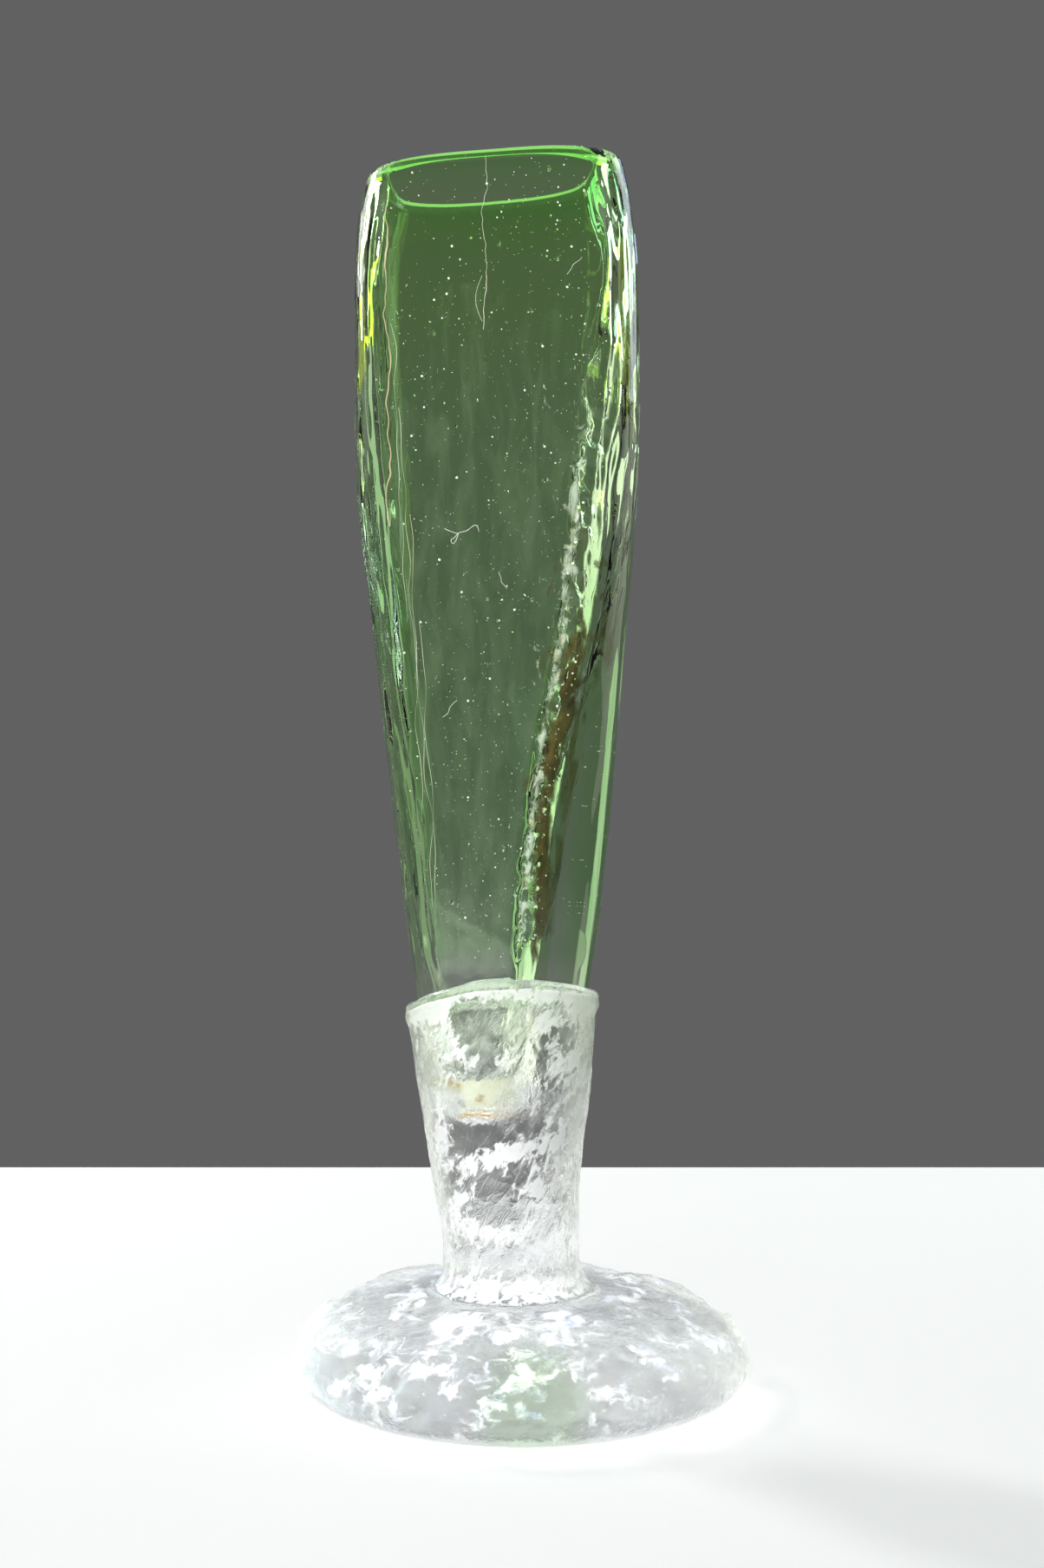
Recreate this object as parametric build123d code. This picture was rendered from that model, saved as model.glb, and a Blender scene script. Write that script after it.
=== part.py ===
"""A hand-blown glass bud vase, in millimetres, +Z up, standing on the plane Z = 0.

Three gathers of glass, worked hot and fused face to face:
- vessel: the tall green bubble that holds the water, flattened front to back, its wall thicker on +X
- stem_collar: a clear cup fused round the vessel's lower end, solid below it, with an arched lip
- foot: a solid clear domed disc with a flat ground base and a shallow polished-out pontil mark

The origin is the middle of the foot's base. The front faces -Y. The vase leans a little towards -X, as made.
"""

from build123d import *
import math
import os

# ---- driving dimensions -----------------------------------------------------------------------------------

VASE_HEIGHT = 240.0          # to the highest point of the vessel's rim

FOOT_RADIUS = 45.2           # at the widest ring
FOOT_RING_HEIGHT = 6.4       # height of that ring above the table
FOOT_BASE_RADIUS = 37.5      # the flat ground face that stands on the table
FOOT_SEAT_HEIGHT = 19.6      # where the stem is fused on
FOOT_SEAT_RADIUS = 17.2
PONTIL_RADIUS = 11.0         # the polished-out mark under the foot
PONTIL_DEPTH = 0.8

VESSEL_BOTTOM = 49.4         # lowest point of the green bubble, inside the collar
CAVITY_BOTTOM = 53.2

LIP_CREST_HEIGHT = 82.4      # the collar's lip arches over the front, dips at the sides and drops to the back
LIP_CREST_X = 0.0
LIP_ARCH_RADIUS = 59.0
LIP_HALF_DEPTH = 17.0
LIP_TILT = 6.0               # degrees that the lip drops towards the back
LIP_ROUND = 1.1

RIM_TILT = 3.6               # degrees that the vessel's rim rises towards +X
RIM_ROUND = 1.3              # fire-polished edge, inside and outside
RIM_CENTRE_X = -4.9

SECTION_POINTS = 16          # points round each cross-section
SECTION_STEP = 8.0           # height between cross-sections
CUT_MARGIN = 12.0            # how far a form runs on past the cut that trims it

# Stations up each form: height, half width (X), half depth (Y), centre X, squareness (2 is an ellipse).
VESSEL_OUTSIDE = [
    (58.0, 13.2, 11.8, -4.2, 2.1),
    (80.0, 17.2, 14.3, -3.8, 2.2),
    (109.4, 20.8, 16.6, -3.9, 2.35),
    (145.0, 24.3, 19.2, -4.4, 2.5),
    (176.0, 27.2, 21.2, -4.8, 2.6),
    (212.0, 27.5, 21.4, -4.9, 2.7),
    (230.0, 26.4, 20.5, -5.3, 2.7),
    (VASE_HEIGHT, 24.2, 18.8, -5.2, 2.65),
    (VASE_HEIGHT + CUT_MARGIN, 20.2, 15.8, -4.6, 2.6),
]
VESSEL_CAVITY = [
    (62.0, 8.3, 8.6, -6.8, 2.1),
    (85.0, 10.6, 12.0, -7.4, 2.2),
    (120.0, 14.7, 14.8, -7.3, 2.4),
    (150.0, 19.2, 17.0, -6.2, 2.6),
    (188.0, 22.6, 18.4, -5.8, 2.7),
    (222.0, 22.8, 17.4, -5.9, 2.7),
    (VASE_HEIGHT, 20.2, 14.4, -5.6, 2.65),
    (VASE_HEIGHT + CUT_MARGIN, 16.8, 11.6, -5.0, 2.6),
]
COLLAR_OUTSIDE = [
    (FOOT_SEAT_HEIGHT, 15.4, 15.4, -1.6, 2.0),
    (25.0, 13.5, 13.5, -2.0, 2.0),
    (32.0, 13.7, 13.5, -2.4, 2.0),
    (46.0, 15.1, 14.3, -3.3, 2.0),
    (60.0, 17.1, 15.6, -3.7, 2.1),
    (78.0, 19.0, 16.9, -4.0, 2.2),
    (LIP_CREST_HEIGHT + CUT_MARGIN, 20.6, 18.2, -4.1, 2.2),
]


def at_height(stations, height):
    """The values between two stations, on a smooth curve through all of them."""
    last = len(stations) - 1
    k = max(i for i in range(last) if i == 0 or stations[i][0] <= height)
    low, high = stations[k], stations[k + 1]
    span = high[0] - low[0]
    t = (height - low[0]) / span

    def slope(i, j):
        before, after = stations[max(i - 1, 0)], stations[min(i + 1, last)]
        return (after[j] - before[j]) / (after[0] - before[0])

    values = [height]
    for j in range(1, len(low)):
        along = low[j] * (1 + 2 * t) * (1 - t) ** 2 + high[j] * t * t * (3 - 2 * t)
        bend = slope(k, j) * t * (1 - t) ** 2 - slope(k + 1, j) * t * t * (1 - t)
        values.append(along + span * bend)
    return values


def section_face(height, half_width, half_depth, centre_x, squareness):
    """A flat face at that height, bounded by a superellipse."""
    power = 2.0 / squareness
    ring = []
    for i in range(SECTION_POINTS):
        turn = 2.0 * math.pi * i / SECTION_POINTS
        across, deep = math.cos(turn), math.sin(turn)
        x = centre_x + half_width * math.copysign(abs(across) ** power, across)
        y = half_depth * math.copysign(abs(deep) ** power, deep)
        ring.append((x, y, height))
    return Face(Wire([Edge.make_spline(ring, periodic=True)]))


def form(stations, bottom=None):
    """The smooth solid through the stations, closed below by a rounded end that reaches down to bottom."""
    first, last = stations[0][0], stations[-1][0]
    rows = []
    if bottom is not None:
        _, half_width, half_depth, centre_x, _ = stations[0]
        for degrees in (78, 60, 40, 20):
            down = (first - bottom) * math.sin(math.radians(degrees))
            in_by = math.cos(math.radians(degrees))
            rows.append((first - down, half_width * in_by, half_depth * in_by, centre_x, 2.0))
    steps = round((last - first) / SECTION_STEP)
    for i in range(steps + 1):
        rows.append(at_height(stations, first + (last - first) * i / steps))
    return loft([section_face(*row) for row in rows])


def make_vessel(outside):
    """The green bubble: its outside less its cavity, cut off at the tilted rim and fire-polished there."""
    tilt = math.radians(RIM_TILT)
    rim_half_width = at_height(VESSEL_OUTSIDE, VASE_HEIGHT)[1]
    rim_centre_height = VASE_HEIGHT - rim_half_width * math.tan(tilt)
    rim = Plane(origin=(RIM_CENTRE_X, 0, rim_centre_height), z_dir=(-math.sin(tilt), 0, math.cos(tilt)))
    vessel = split(outside - form(VESSEL_CAVITY, CAVITY_BOTTOM), bisect_by=rim, keep=Keep.BOTTOM)
    rim_face = vessel.faces().filter_by(GeomType.PLANE).sort_by(Axis.Z)[-1]
    return fillet(rim_face.edges(), RIM_ROUND)


def make_stem_collar(vessel_outside):
    """The clear cup and stem, less the vessel's own outside, so that the two meet face to face."""
    arch_centre = LIP_CREST_HEIGHT - LIP_ARCH_RADIUS - LIP_HALF_DEPTH * math.tan(math.radians(LIP_TILT))
    lying_drum = Cylinder(LIP_ARCH_RADIUS, 4 * FOOT_RADIUS, rotation=(90, 0, 0))
    under_arch = Pos(LIP_CREST_X, 0, arch_centre) * Rot(-LIP_TILT, 0, 0) * lying_drum
    body = form(COLLAR_OUTSIDE) & under_arch
    lip = body.faces().sort_by(Axis.Z)[-1]
    body = fillet(lip.edges(), LIP_ROUND)
    return body - vessel_outside


def make_foot():
    """The domed disc, turned about Z, with its pontil mark polished out of the base."""
    base_edge = (FOOT_BASE_RADIUS, 0)
    widest = (FOOT_RADIUS, FOOT_RING_HEIGHT)
    shoulder = (0.80 * FOOT_RADIUS, 0.80 * FOOT_SEAT_HEIGHT)
    seat_edge = (FOOT_SEAT_RADIUS, FOOT_SEAT_HEIGHT)
    outline = [
        Line((0, 0), base_edge),
        Spline(base_edge, widest, tangents=[(1, 0.25), (0, 1)]),
        Spline(widest, shoulder, seat_edge, tangents=[(0, 1), (-1, 0)]),
        Line(seat_edge, (0, FOOT_SEAT_HEIGHT)),
        Line((0, FOOT_SEAT_HEIGHT), (0, 0)),
    ]
    disc = revolve(Plane.XZ * make_face(outline), Axis.Z)
    lens_radius = (PONTIL_RADIUS**2 + PONTIL_DEPTH**2) / (2 * PONTIL_DEPTH)
    lens = Pos(0, 0, PONTIL_DEPTH - lens_radius) * Sphere(lens_radius)
    return disc - lens


def main():
    vessel_outside = form(VESSEL_OUTSIDE, VESSEL_BOTTOM)
    parts = {
        "vessel": make_vessel(vessel_outside),
        "stem_collar": make_stem_collar(vessel_outside),
        "foot": make_foot(),
    }
    os.makedirs("parts", exist_ok=True)
    for name, shape in parts.items():
        export_step(shape, f"parts/{name}.step")
        box = shape.bounding_box()
        print(name, round(shape.volume / 1000, 1), "cm3", box.min, box.max)


main()
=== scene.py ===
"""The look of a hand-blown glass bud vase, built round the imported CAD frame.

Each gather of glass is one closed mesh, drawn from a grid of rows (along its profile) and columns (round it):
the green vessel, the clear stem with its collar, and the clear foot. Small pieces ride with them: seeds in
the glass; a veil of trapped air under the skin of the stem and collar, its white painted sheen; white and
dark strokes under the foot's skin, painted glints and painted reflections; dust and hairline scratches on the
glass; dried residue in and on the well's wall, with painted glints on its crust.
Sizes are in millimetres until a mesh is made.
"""

import math
import random

import bmesh
import bpy
import numpy as np
from mathutils import Euler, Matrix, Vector, noise


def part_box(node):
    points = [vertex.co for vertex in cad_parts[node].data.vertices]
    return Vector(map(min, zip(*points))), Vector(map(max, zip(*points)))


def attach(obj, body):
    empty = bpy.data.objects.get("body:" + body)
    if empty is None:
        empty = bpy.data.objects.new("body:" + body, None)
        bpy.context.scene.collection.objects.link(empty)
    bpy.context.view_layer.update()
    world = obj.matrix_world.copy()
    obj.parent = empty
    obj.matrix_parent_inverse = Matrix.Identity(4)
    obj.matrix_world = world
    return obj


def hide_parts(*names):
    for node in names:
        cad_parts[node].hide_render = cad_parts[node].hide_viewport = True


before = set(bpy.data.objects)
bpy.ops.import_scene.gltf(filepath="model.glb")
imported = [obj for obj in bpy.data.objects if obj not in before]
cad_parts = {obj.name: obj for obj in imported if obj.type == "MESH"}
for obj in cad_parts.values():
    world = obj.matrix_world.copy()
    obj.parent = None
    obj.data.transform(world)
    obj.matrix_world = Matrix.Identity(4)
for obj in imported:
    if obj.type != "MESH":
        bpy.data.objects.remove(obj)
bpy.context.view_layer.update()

MM = 0.001


def highest_corner(name):
    """A CAD node's highest corner, in millimetres."""
    return np.array(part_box(name)[1]) / MM


VESSEL_HIGH = highest_corner("vessel")
COLLAR_HIGH = highest_corner("stem_collar")
FOOT_HIGH = highest_corner("foot")

# ---- driving dimensions, in millimetres -------------------------------------------------------------------

HEIGHT = VESSEL_HIGH[2]                 # highest point of the rim
SEAT = FOOT_HIGH[2]                     # where stem and foot were fused
LIP_CREST = COLLAR_HIGH[2]              # top of the collar's arched lip
FOOT_RADIUS = FOOT_HIGH[0]
RIM_RISE = math.tan(math.radians(3.6))  # the rim climbs towards +X
RIM_CENTRE_X = -5.2
RIM_HALF_WIDTH = 24.2
RIM_MIDDLE = HEIGHT - RIM_HALF_WIDTH * RIM_RISE - 0.1
RIM_ROUND = 1.6                         # how far below the rim the two walls stop, to be rounded over
LIP_CENTRE_X = -4.0                     # the collar's outline at its lip
LIP_HALF_WIDTH = 19.0
LIP_HALF_DEPTH = 17.2
ARCH_RADIUS = 59.0                      # the lip's arch over front and back
LIP_DROP = 3.6                          # how much lower the lip is at the back
LIP_BEAD = 1.8                          # how far the lip's round bead stands above the wall under it
LIP_FLARE = 0.5                         # how far the bead stands out of the wall
SEAM_GAP = 0.02                         # keeps the two sides of the fused seam from meeting in the mesh
SEAT_EDGE = 17.0                        # radius of the face where stem and foot are fused
SEAT_X = -1.6                           # X of that face's middle
FILM_HALF = 0.015                       # half the thickness of a film
BONDED = 0.06                           # how deep inside the glass a bonded deposit lies
LOOSE = -0.04                           # a loose one lies that far off the wall, in the well

# Stations: height, half width (X), half depth (Y), centre X, squareness (2 is an ellipse).
VESSEL_OUTSIDE = np.array([
    (58.0, 13.2, 11.8, -4.2, 2.1),
    (80.0, 17.2, 14.3, -3.8, 2.2),
    (109.4, 20.8, 16.6, -3.9, 2.35),
    (145.0, 24.3, 19.2, -4.4, 2.5),
    (176.0, 27.2, 21.2, -4.8, 2.6),
    (212.0, 27.5, 21.4, -4.9, 2.7),
    (230.0, 26.4, 20.5, -5.3, 2.7),
    (240.0, 24.2, 18.8, -5.2, 2.65),
])
VESSEL_CAVITY = np.array([
    (62.0, 8.3, 8.6, -6.8, 2.1),
    (85.0, 10.6, 12.0, -7.4, 2.2),
    (120.0, 14.7, 14.8, -7.3, 2.4),
    (150.0, 19.2, 17.0, -6.2, 2.6),
    (188.0, 22.6, 18.4, -5.8, 2.7),
    (222.0, 22.8, 17.4, -5.9, 2.7),
    (240.0, 20.2, 14.4, -5.6, 2.65),
])
COLLAR_OUTSIDE = np.array([
    (19.6, SEAT_EDGE, SEAT_EDGE, SEAT_X, 2.0),
    (20.1, 15.6, 15.6, SEAT_X, 2.0),
    (21.5, 14.4, 14.4, -1.7, 2.0),
    (24.5, 13.6, 13.6, -1.9, 2.0),
    (32.0, 13.7, 13.5, -2.4, 2.0),
    (46.0, 15.1, 14.3, -3.3, 2.0),
    (60.0, 17.1, 15.6, -3.7, 2.1),
    (78.0, 19.0, 16.9, -4.0, 2.2),
    (84.0, 19.6, 17.3, -4.0, 2.2),
])
VESSEL_BOTTOM = 49.4
CAVITY_BOTTOM = 53.2


# ---- shapes -----------------------------------------------------------------------------------------------


def smooth(low, high, value):
    """0 below low, 1 above high, with soft ends."""
    t = np.clip((value - low) / (high - low), 0.0, 1.0)
    return t * t * (3 - 2 * t)


def at_height(stations, z):
    """Half width, half depth, centre X and squareness at each height, on a smooth curve through stations."""
    heights = stations[:, 0]
    slopes = np.empty_like(stations)
    slopes[1:-1] = (stations[2:] - stations[:-2]) / (heights[2:] - heights[:-2])[:, None]
    slopes[0] = (stations[1] - stations[0]) / (heights[1] - heights[0])
    slopes[-1] = (stations[-1] - stations[-2]) / (heights[-1] - heights[-2])
    k = np.clip(np.searchsorted(heights, z, side="right") - 1, 0, len(heights) - 2)
    span = (heights[k + 1] - heights[k])[..., None]
    t = np.clip((z - heights[k])[..., None] / span, 0.0, 1.0)
    value = stations[k] * (1 + 2 * t) * (1 - t) ** 2 + stations[k + 1] * t * t * (3 - 2 * t)
    value = value + span * (slopes[k] * t * (1 - t) ** 2 - slopes[k + 1] * t * t * (1 - t))
    return value[..., 1], value[..., 2], value[..., 3], value[..., 4]


def even_turns(columns, squareness=2.5, flatness=0.78):
    """Angles that space points evenly round a superellipse."""
    fine = np.linspace(0, 2 * math.pi, 8001)
    x = np.sign(np.cos(fine)) * np.abs(np.cos(fine)) ** (2 / squareness)
    y = flatness * np.sign(np.sin(fine)) * np.abs(np.sin(fine)) ** (2 / squareness)
    length = np.concatenate([[0], np.cumsum(np.hypot(np.diff(x), np.diff(y)))])
    return np.interp(np.linspace(0, length[-1], columns, endpoint=False), length, fine)


def superellipse(turns, half_width, half_depth, centre_x, squareness):
    """Points and outward unit normals round a section; all arguments broadcast."""
    power = 2.0 / squareness
    cos, sin = np.cos(turns), np.sin(turns)
    ux = np.sign(cos) * np.abs(cos) ** power
    uy = np.sign(sin) * np.abs(sin) ** power
    nx = np.sign(cos) * np.abs(cos) ** (2 - power) / half_width
    ny = np.sign(sin) * np.abs(sin) ** (2 - power) / half_depth
    size = np.hypot(nx, ny)
    return centre_x + half_width * ux, half_depth * uy, nx / size, ny / size


def field(x, y, z, scale, seed):
    """Smooth noise from about -1 to 1 at each point; scale is the size of its features along X, Y and Z."""
    sx, sy, sz = scale
    points = np.stack([x / sx + 17.3 * seed, y / sy - 5.1 * seed, z / sz + 9.7 * seed], -1)
    flat = points.reshape(-1, 3)
    values = np.fromiter((noise.noise(Vector(p)) for p in flat), float, len(flat))
    return values.reshape(x.shape)


def ridges(values, sharpness=1.5):
    """Noise folded into rounded ridges: 1 on a crest, falling to 0."""
    return np.clip(1 - 2.2 * np.abs(values), 0, 1) ** sharpness


def rim_lift(x, z):
    """How far the tilted rim lifts a point of the upper vessel."""
    return RIM_RISE * (x - RIM_CENTRE_X) * smooth(195, 236, z)


def turn_over(outer, inner, base, count, rise=1.0):
    """Rows that turn half round from the outer wall's last ring over to the inner wall's first one."""
    half = np.linspace(0, math.pi, count)[1:-1][:, None]
    across_x, across_y = (outer[0] - inner[0]) / 2, (outer[1] - inner[1]) / 2
    x = (outer[0] + inner[0]) / 2 + across_x * np.cos(half)
    y = (outer[1] + inner[1]) / 2 + across_y * np.cos(half)
    return x, y, base + np.hypot(across_x, across_y) * rise * np.sin(half)


def put(name, data):
    """A new object in the scene."""
    piece = bpy.data.objects.new(name, data)
    bpy.context.scene.collection.objects.link(piece)
    return piece


def mesh_piece(name, points, faces, rounded=True):
    """A new mesh object, smooth shaded if rounded."""
    mesh = bpy.data.meshes.new(name)
    mesh.from_pydata(points, [], faces)
    mesh.polygons.foreach_set("use_smooth", [rounded] * len(faces))
    mesh.update()
    return put(name, mesh)


def grid_mesh(name, x, y, z, slots):
    """A closed mesh from rows of rings. The first and the last row are each drawn together into one point.

    slots gives the material slot of each band between two rows.
    """
    rows, columns = x.shape
    inner = np.stack([x[1:-1], y[1:-1], z[1:-1]], -1).reshape(-1, 3)
    first = [x[0].mean(), y[0].mean(), z[0].mean()]
    last = [x[-1].mean(), y[-1].mean(), z[-1].mean()]
    points = np.vstack([[first], inner, [last]]) * MM
    faces, kinds = [], []
    end = len(points) - 1
    for j in range(columns):
        k = (j + 1) % columns
        faces.append((0, 1 + k, 1 + j))
        kinds.append(slots[0])
    for i in range(rows - 3):
        a, b = 1 + i * columns, 1 + (i + 1) * columns
        for j in range(columns):
            k = (j + 1) % columns
            faces.append((a + j, a + k, b + k, b + j))
            kinds.append(slots[i + 1])
    a = 1 + (rows - 3) * columns
    for j in range(columns):
        k = (j + 1) % columns
        faces.append((a + j, a + k, end))
        kinds.append(slots[-1])
    piece = mesh_piece(name, points.tolist(), faces)
    piece.data.polygons.foreach_set("material_index", kinds)
    return piece


# ---- materials --------------------------------------------------------------------------------------------


def new_material(name):
    """An empty node material, its nodes and its links."""
    material = bpy.data.materials.new(name)
    material.use_nodes = True
    nodes = material.node_tree.nodes
    nodes.clear()
    return material, nodes, material.node_tree.links


def add(nodes, kind, **values):
    """A node with its inputs or settings filled in: socket names have an underscore for each space."""
    node = nodes.new("ShaderNode" + kind)
    for key, value in values.items():
        if hasattr(node, key):
            setattr(node, key, value)
        else:
            node.inputs[key.replace("_", " ")].default_value = value
    return node


def ramp(nodes, links, source, stops):
    """A colour ramp on a socket: stops are (position, colour)."""
    node = nodes.new("ShaderNodeValToRGB")
    bar = node.color_ramp
    while len(bar.elements) > 1:
        bar.elements.remove(bar.elements[-1])
    bar.elements[0].position, bar.elements[0].color = stops[0][0], (*stops[0][1], 1)
    for position, colour in stops[1:]:
        bar.elements.new(position).color = (*colour, 1)
    links.new(source, node.inputs["Fac"])
    return node.outputs["Color"]


def stretched_noise(nodes, links, place, stretch, scale, detail, rough, warp=0.0, slant=0.0):
    """A noise texture in object space, stretched along each axis, then leaned over in the XZ plane."""
    mapping = add(nodes, "Mapping", vector_type="TEXTURE")
    mapping.inputs["Scale"].default_value = stretch
    mapping.inputs["Rotation"].default_value = (0, math.radians(slant), 0)
    links.new(place, mapping.inputs["Vector"])
    texture = add(nodes, "TexNoise", Scale=scale, Detail=detail, Roughness=rough, Distortion=warp)
    links.new(mapping.outputs["Vector"], texture.inputs["Vector"])
    return texture.outputs["Fac"]


def glass(
    name, tints, tint_heights, stretch, bump_scale, bump_depth, fine_depth, rough, worked=None, blushes=(),
):
    """Fire-polished glass: a tint that changes with height, ripples in its surface, faint haze in its polish.

    The depths of the ripples are in millimetres, and rough is the least and the most roughness.
    worked is the lean of its strokes in degrees and the scale of its calm and rough patches. Each of blushes
    is a further tint, and the middle, the half widths and the lean of the soft oval that it fills.
    """
    material, nodes, links = new_material(name)
    place = nodes.new("ShaderNodeTexCoord").outputs["Object"]
    shader = add(nodes, "BsdfPrincipled", Transmission_Weight=1.0, IOR=1.5)
    out = nodes.new("ShaderNodeOutputMaterial")
    links.new(shader.outputs["BSDF"], out.inputs["Surface"])

    height = nodes.new("ShaderNodeSeparateXYZ")
    links.new(place, height.inputs["Vector"])
    low, high = tint_heights
    level = add(nodes, "MapRange", From_Min=low * MM, From_Max=high * MM)
    links.new(height.outputs["Z"], level.inputs["Value"])
    tint = ramp(nodes, links, level.outputs["Result"], tints)
    for colour, middle, half, lean in blushes:
        oval = add(nodes, "Mapping", vector_type="TEXTURE")
        oval.inputs["Location"].default_value = [m * MM for m in middle]
        oval.inputs["Scale"].default_value = [h * MM for h in half]
        oval.inputs["Rotation"].default_value = (0, math.radians(lean), 0)
        links.new(place, oval.inputs["Vector"])
        away = add(nodes, "VectorMath", operation="LENGTH")
        links.new(oval.outputs["Vector"], away.inputs[0])
        inside = add(nodes, "MapRange", interpolation_type="SMOOTHSTEP", From_Min=1.0, From_Max=0.55)
        links.new(away.outputs["Value"], inside.inputs["Value"])
        both = add(nodes, "Mix", data_type="RGBA", blend_type="MULTIPLY")
        links.new(inside.outputs["Result"], both.inputs[0])
        links.new(tint, both.inputs[6])
        both.inputs[7].default_value = (*colour, 1)
        tint = both.outputs[2]
    links.new(tint, shader.inputs["Base Color"])

    haze = stretched_noise(nodes, links, place, (1, 1, 2.5), 120, 4, 0.6)
    polish = add(nodes, "MapRange", From_Min=0.45, From_Max=0.75, To_Min=rough[0], To_Max=rough[1])
    links.new(haze, polish.inputs["Value"])
    links.new(polish.outputs["Result"], shader.inputs["Roughness"])

    broad = stretched_noise(nodes, links, place, stretch, bump_scale, 3, 0.5, 0.6)
    if worked:
        slant, patch_scale = worked
        strokes = stretched_noise(nodes, links, place, stretch, bump_scale, 5, 0.62, 0.9, slant)
        patches = stretched_noise(nodes, links, place, (1, 1, 1.5), patch_scale, 2, 0.5)
        share = add(nodes, "MapRange", From_Min=0.42, From_Max=0.6, To_Min=0.35, To_Max=1.0)
        links.new(patches, share.inputs["Value"])
        product = add(nodes, "Math", operation="MULTIPLY")
        links.new(strokes, product.inputs[0])
        links.new(share.outputs["Result"], product.inputs[1])
        broad = product.outputs["Value"]
    fine = stretched_noise(nodes, links, place, stretch, bump_scale * 4.5, 3, 0.55, 0.3)
    deep = add(nodes, "Bump", Strength=1.0, Distance=bump_depth * MM)
    links.new(broad, deep.inputs["Height"])
    shallow = add(nodes, "Bump", Strength=1.0, Distance=fine_depth * MM)
    links.new(fine, shallow.inputs["Height"])
    links.new(deep.outputs["Normal"], shallow.inputs["Normal"])
    links.new(shallow.outputs["Normal"], shader.inputs["Normal"])
    return material


def fused_face():
    """The face where two gathers of clear glass became one: nothing to see."""
    material, nodes, links = new_material("fused_face")
    shader = nodes.new("ShaderNodeBsdfTransparent")
    out = nodes.new("ShaderNodeOutputMaterial")
    links.new(shader.outputs["BSDF"], out.inputs["Surface"])
    return material


GREEN = glass(
    "green_glass_looks",
    [
        (0, (0.97, 1.0, 0.96)), (0.17, (0.93, 1.0, 0.91)), (0.20, (0.79, 0.985, 0.74)),
        (0.42, (0.745, 0.96, 0.665)), (0.62, (0.755, 0.97, 0.66)), (0.77, (0.755, 0.985, 0.64)),
        (0.86, (0.745, 0.99, 0.59)), (0.92, (0.735, 0.99, 0.585)), (0.955, (0.62, 0.98, 0.44)),
        (0.985, (0.48, 0.97, 0.32)), (1, (0.50, 0.97, 0.34)),
    ],
    (50, 240), (1, 1, 6), 60, 0.06, 0.015, (0.0, 0.05), None,
    [
        ((0.54, 0.94, 0.42), (22, 0, 110), (18, 60, 82), 8.5),
        ((0.70, 0.97, 0.60), (-31, 0, 130), (12, 60, 100), -7),
    ],
)
CLEAR = glass(
    "clear_glass_looks",
    [(0, (0.985, 0.99, 1.0)), (0.6, (0.985, 0.99, 0.99)), (0.85, (0.89, 0.99, 0.83))],
    (20, 80), (1, 1, 3.0), 420, 0.75, 0.07, (0.0, 0.08), (28, 90),
)
FOOT = glass(
    "foot_glass_looks",
    [(0, (0.985, 0.985, 1.0)), (1, (0.99, 0.99, 1.0))],
    (0, 20), (1, 1, 1), 230, 0.85, 0.16, (0.0, 0.03), (0, 60),
    # Painted green light: a pale green oval in the front of the clear foot, standing in for light passed
    # through the green vessel.
    [((0.74, 0.96, 0.66), (2, -34, 7), (14, 24, 12), 0)],
)
FUSED = fused_face()


# ---- the vessel -------------------------------------------------------------------------------------------


def capped_rows(stations, bottom, cap_rows, step, top):
    """Heights of the rows, and how far each is drawn in: a rounded bottom, then even steps to the top."""
    first = stations[0, 0]
    turn = np.linspace(math.pi / 2, 0, cap_rows, endpoint=False)
    heights = np.arange(first, top, step)
    z = np.concatenate([first - (first - bottom) * np.sin(turn), heights])
    draw_in = np.concatenate([np.cos(turn), np.ones(len(heights))])
    return z, draw_in


def vessel_wall(stations, bottom, cap_rows, step, turns, top, seam=None):
    """A wall's points and outward normals, and the number of the row drawn onto seam, a line round it."""
    z, draw_in = capped_rows(stations, bottom, cap_rows, step, top)
    z = np.repeat(z[:, None], len(turns), 1)
    row = 0
    if seam is not None:
        row = int(np.argmin(np.abs(z[:, 0] - seam.mean())))
        level = z[row, 0]
        z = z + np.exp(-(((z - level) / 9.0) ** 2)) * (seam[None, :] - level)
    width, depth, centre, square = at_height(stations, np.maximum(z, stations[0, 0]))
    draw_in = np.maximum(draw_in, 1e-4)[:, None]
    x, y, nx, ny = superellipse(turns[None, :], width * draw_in, depth * draw_in, centre, square)
    return x, y, z, nx, ny, row


def bark(x, y, z, nx, seed, length):
    """The streaked, bark-like skin of the narrow sides; its streaks are about that long."""
    side = smooth(0.5, 0.92, np.abs(nx))
    warp = 1.6 * field(x, y, z, (12, 12, 30), seed + 2)
    long_streaks = ridges(field(x * 0 + warp, y + warp, z, (6, 3.2, length), seed))
    short_streaks = ridges(field(x * 0, y + warp, z, (6, 1.8, length * 0.35), seed + 1))
    return side * (0.7 * long_streaks + 0.3 * short_streaks)


def cavity_swell(x, y, z, nx):
    """How far the cavity's wall stands out of its smooth form: dents, streaks, and a crusted right side."""
    below = 1 - smooth(222, 237, z)
    right, left = smooth(0.3, 0.85, nx), smooth(0.3, 0.85, -nx)
    swell = 0.3 * field(x, y, z, (24, 24, 40), 11)
    swell = swell + (0.35 * left + (0.25 + 0.5 * smooth(150, 185, z)) * right) * bark(x, y, z, nx, 13, 32)
    swell = swell + right * 0.9 * field(x, y, z, (7, 7, 14), 17) * smooth(160, 185, z)
    turn = 0.685 + 0.08 * field(0 * x, 0 * x, z, (9, 9, 9), 20)
    crust = (1 - smooth(188, 200, z)) * smooth(84, 90, z) * (1 - smooth(-3, 2, y))
    crust = crust * np.exp(-(((nx - turn) / 0.13) ** 2))
    return below * swell - 1.3 * crust * ridges(field(x, y, z, (2.2, 2.2, 3.0), 19))


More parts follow.
